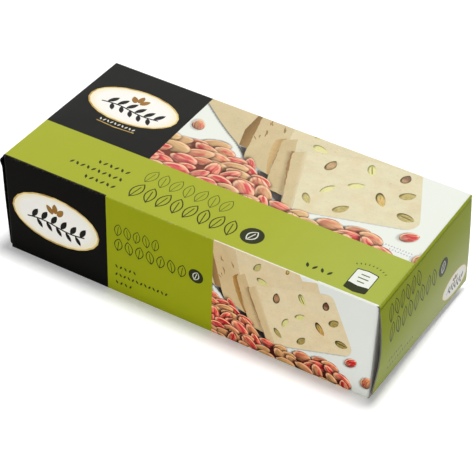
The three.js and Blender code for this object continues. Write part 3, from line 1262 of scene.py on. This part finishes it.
def make_board(name, art, surface, finish, sizes, creases=(), edge_ink="cut_edge", inner_ink="inside"):
    """Fold one printed sheet into a piece of board of real thickness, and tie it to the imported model."""
    flat, triangles, chosen = split_sheet(art, crease_rows(art.shapes[0].outline, creases))
    outer, normals = surface(flat), outward_normals(surface, flat)
    inner = outer - normals * sizes.board
    edges = rim_edges(triangles)
    count = len(flat)
    rims = [(b, a, a + count, b + count) for a, b in edges]
    faces = triangles.tolist() + (triangles[:, ::-1] + count).tolist() + rims
    mesh = bpy.data.meshes.new(name)
    mesh.from_pydata((np.vstack([outer, inner]) * MM).tolist(), [], faces)

    write_shading(mesh, art, flat[triangles.ravel()], np.repeat(chosen, 3))
    crease_gap = np.minimum(flat - flat.min(axis=0), flat.max(axis=0) - flat).min(axis=1)
    write_values(mesh, "crease_gap", "FLOAT", "POINT", np.concatenate([crease_gap, crease_gap + UNWORN_GAP]))
    used = sorted({art.shapes[number].ink for number in chosen} | {inner_ink, edge_ink})
    for ink_name in used:
        mesh.materials.append(printed_material(ink_name, finish))
    slots = [used.index(art.shapes[number].ink) for number in chosen]
    slots += [used.index(inner_ink)] * len(triangles) + [used.index(edge_ink)] * len(rims)
    mesh.polygons.foreach_set("material_index", slots)
    mesh.polygons.foreach_set("use_smooth", [True] * len(faces))
    bake_map = mesh.uv_layers.new(name="OFBake")
    bake_map.data.foreach_set("uv", bake_places(flat, triangles, edges).astype(np.float32).ravel())
    set_normals(mesh, normals, triangles, len(rims))

    piece = add_object(name, mesh)
    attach(piece, "root")
    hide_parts("carton")


def make_side(name, side_name, draw, finish):
    """Make one side of the body, with the print that draw(sizes) gives it."""
    sizes = millimetres()
    creases = side_creases(side_name, sizes)
    make_board(name, draw(sizes), side_surface(side_name, sizes), finish, sizes, creases)


# ------------------------------------------------------------------ operators


class CARTON_OT_top(bpy.types.Operator):
    """Make the top panel with its title band, dark field and picture"""

    bl_idname = "carton.top"
    bl_label = "Top panel"

    def execute(self, context):
        make_side("top_panel", "top", top_print, GLOSSY)
        return {"FINISHED"}


class CARTON_OT_long_sides(bpy.types.Operator):
    """Make the front and back panels"""

    bl_idname = "carton.long_sides"
    bl_label = "Front and back panels"

    def execute(self, context):
        make_side("front_panel", "front", lambda sizes: long_side_print(sizes, 5), SATIN)
        make_side("back_panel", "back", lambda sizes: long_side_print(sizes, 11), SATIN)
        return {"FINISHED"}


class CARTON_OT_base(bpy.types.Operator):
    """Make the base panel"""

    bl_idname = "carton.base"
    bl_label = "Base panel"

    def execute(self, context):
        make_side("base_panel", "base", base_print, SATIN)
        return {"FINISHED"}


class CARTON_OT_dust_flaps(bpy.types.Operator):
    """Make the folded-in flaps behind the outer end flaps"""

    bl_idname = "carton.dust_flaps"
    bl_label = "Dust flaps"

    def execute(self, context):
        for side_name in ("right", "left"):
            make_side(f"{side_name}_dust_flaps", side_name, tuck_print, SATIN)
        return {"FINISHED"}


class CARTON_OT_end_flaps(bpy.types.Operator):
    """Make the outer end flaps, bowed on the right and rolled at the hinge on the left"""

    bl_idname = "carton.end_flaps"
    bl_label = "Outer end flaps"

    def execute(self, context):
        sizes = millimetres()
        right = flap_surface(sizes, 1, right_flap_offset(sizes))
        left = flap_surface(sizes, -1, left_flap_offset(sizes))
        make_board("right_end_flap", right_flap_print(sizes), right, SOFT, sizes)
        # The left flap's inner face and cut edges take the dark ink: painted shade, where the board itself is
        # pale
        make_board("left_end_flap", left_flap_print(sizes), left, SATIN, sizes, (), "dark", "dark")
        return {"FINISHED"}


CAMERA_PLACE = Vector((0.2662, -0.4599, 0.4466))
CAMERA_TURN, CAMERA_RISE, CAMERA_ROLL = 29.983, 39.174, 1.878
CAMERA_LENS = 143.61
KEY_TURN, KEY_RISE = 165, 83.8
KEY_DISTANCE, KEY_WIDTH = 1.8, 0.36


def aimed(turn, rise, roll=0.0):
    """The rotation of a camera or light that looks along turn and down by rise, in degrees, and its back."""
    a, e, r = (math.radians(angle) for angle in (turn, rise, roll))
    back = Vector((math.sin(a) * math.cos(e), -math.cos(a) * math.cos(e), math.sin(e)))
    level = Vector((0, 0, 1)).cross(back).normalized()
    upright = back.cross(level)
    right = level * math.cos(r) + upright * math.sin(r)
    up = upright * math.cos(r) - level * math.sin(r)
    return Matrix((right, up, back)).transposed().to_4x4(), back


def add_camera():
    """The camera, above the right of the front panel."""
    data = bpy.data.cameras.new("camera")
    data.sensor_width = 36.0
    data.lens = CAMERA_LENS
    rotation, _ = aimed(CAMERA_TURN, CAMERA_RISE, CAMERA_ROLL)
    bpy.context.scene.camera = add_object("camera", data, Matrix.Translation(CAMERA_PLACE) @ rotation)


def add_overhead_light(power):
    """A square softbox above the carton."""
    data = bpy.data.lights.new("overhead", "AREA")
    data.shape = "SQUARE"
    data.size = KEY_WIDTH
    data.energy = power
    rotation, back = aimed(KEY_TURN, KEY_RISE)
    add_object("overhead", data, Matrix.Translation(back * KEY_DISTANCE) @ rotation)


def add_room(settings):
    """A room that is bright low down on the left and in front."""
    world = bpy.data.worlds.new("room")
    bpy.context.scene.world = world
    graph = Graph(world)
    across, along, up = graph.parts(graph.node("TexCoord", output="Generated"))
    left, front, low = 1.0 - across.over(-0.2, 0.6), 1.0 - along.over(-0.8, 0.0), 1.0 - up.over(0.15, 0.6)
    glow = (left * settings.room_left + front * settings.room_front) * low + settings.room_rest
    graph.node("OutputWorld", {"Surface": graph.node("Background", {"Color": (1, 1, 1), "Strength": glow})})


def add_floor(settings):
    """A plain pale floor."""
    half = settings.floor_width / 2
    mesh = bpy.data.meshes.new("floor")
    mesh.from_pydata([(x, y, 0) for x, y in box_outline(-half, -half, half, half)], [], [(0, 1, 2, 3)])
    material = bpy.data.materials.new("floor")
    graph = Graph(material)
    cloud = graph.noise(graph.place(1.0), 3.0)
    graph.node("OutputMaterial", {"Surface": graph.node("BsdfPrincipled", {
        "Base Color": graph.scaled(settings.floor_colour, 1.0 + (cloud - 0.5) * 0.01),
        "Roughness": 0.7,
        "Specular IOR Level": 0.2,
        "Emission Color": (1, 1, 1),
        "Emission Strength": settings.floor_glow,
    })})
    mesh.materials.append(material)
    floor = add_object("floor", mesh)


class CARTON_OT_stage(bpy.types.Operator):
    """Make the pale floor, the soft lights and the camera"""

    bl_idname = "carton.stage"
    bl_label = "Stage"

    def execute(self, context):
        settings = context.scene.carton_stage
        context.scene.view_settings.view_transform = "Standard"
        add_camera()
        add_floor(settings)
        add_room(settings)
        add_overhead_light(settings.key_power)
        return {"FINISHED"}


OPERATORS = (CARTON_OT_top, CARTON_OT_long_sides, CARTON_OT_base, CARTON_OT_dust_flaps,
             CARTON_OT_end_flaps, CARTON_OT_stage)
GROUPS = {"carton_sizes": CartonSizes, "print_colours": PrintColours, "carton_stage": StageSettings}


class CARTON_PT_panel(bpy.types.Panel):
    """Sizes, colours and the steps that build the carton"""

    bl_idname = "CARTON_PT_panel"
    bl_label = "Carton"
    bl_space_type = "VIEW_3D"
    bl_region_type = "UI"
    bl_category = "Carton"

    def draw(self, context):
        for name, group in GROUPS.items():
            column = self.layout.column()
            for field in group.__annotations__:
                column.prop(getattr(context.scene, name), field)
        for operator in OPERATORS:
            self.layout.operator(operator.bl_idname)


CLASSES = (*GROUPS.values(), *OPERATORS, CARTON_PT_panel)


def register():
    """Add the carton's properties, operators and panel to Blender."""
    for made in CLASSES:
        bpy.utils.register_class(made)
    for name, group in GROUPS.items():
        setattr(bpy.types.Scene, name, bpy.props.PointerProperty(type=group))


def unregister():
    """Take them out again."""
    for name in GROUPS:
        delattr(bpy.types.Scene, name)
    for made in reversed(CLASSES):
        bpy.utils.unregister_class(made)


def main():
    """Build the carton and its stage."""
    register()
    for operator in OPERATORS:
        getattr(bpy.ops.carton, operator.bl_idname.split(".")[1])()


if __name__ == "__main__":
    main()
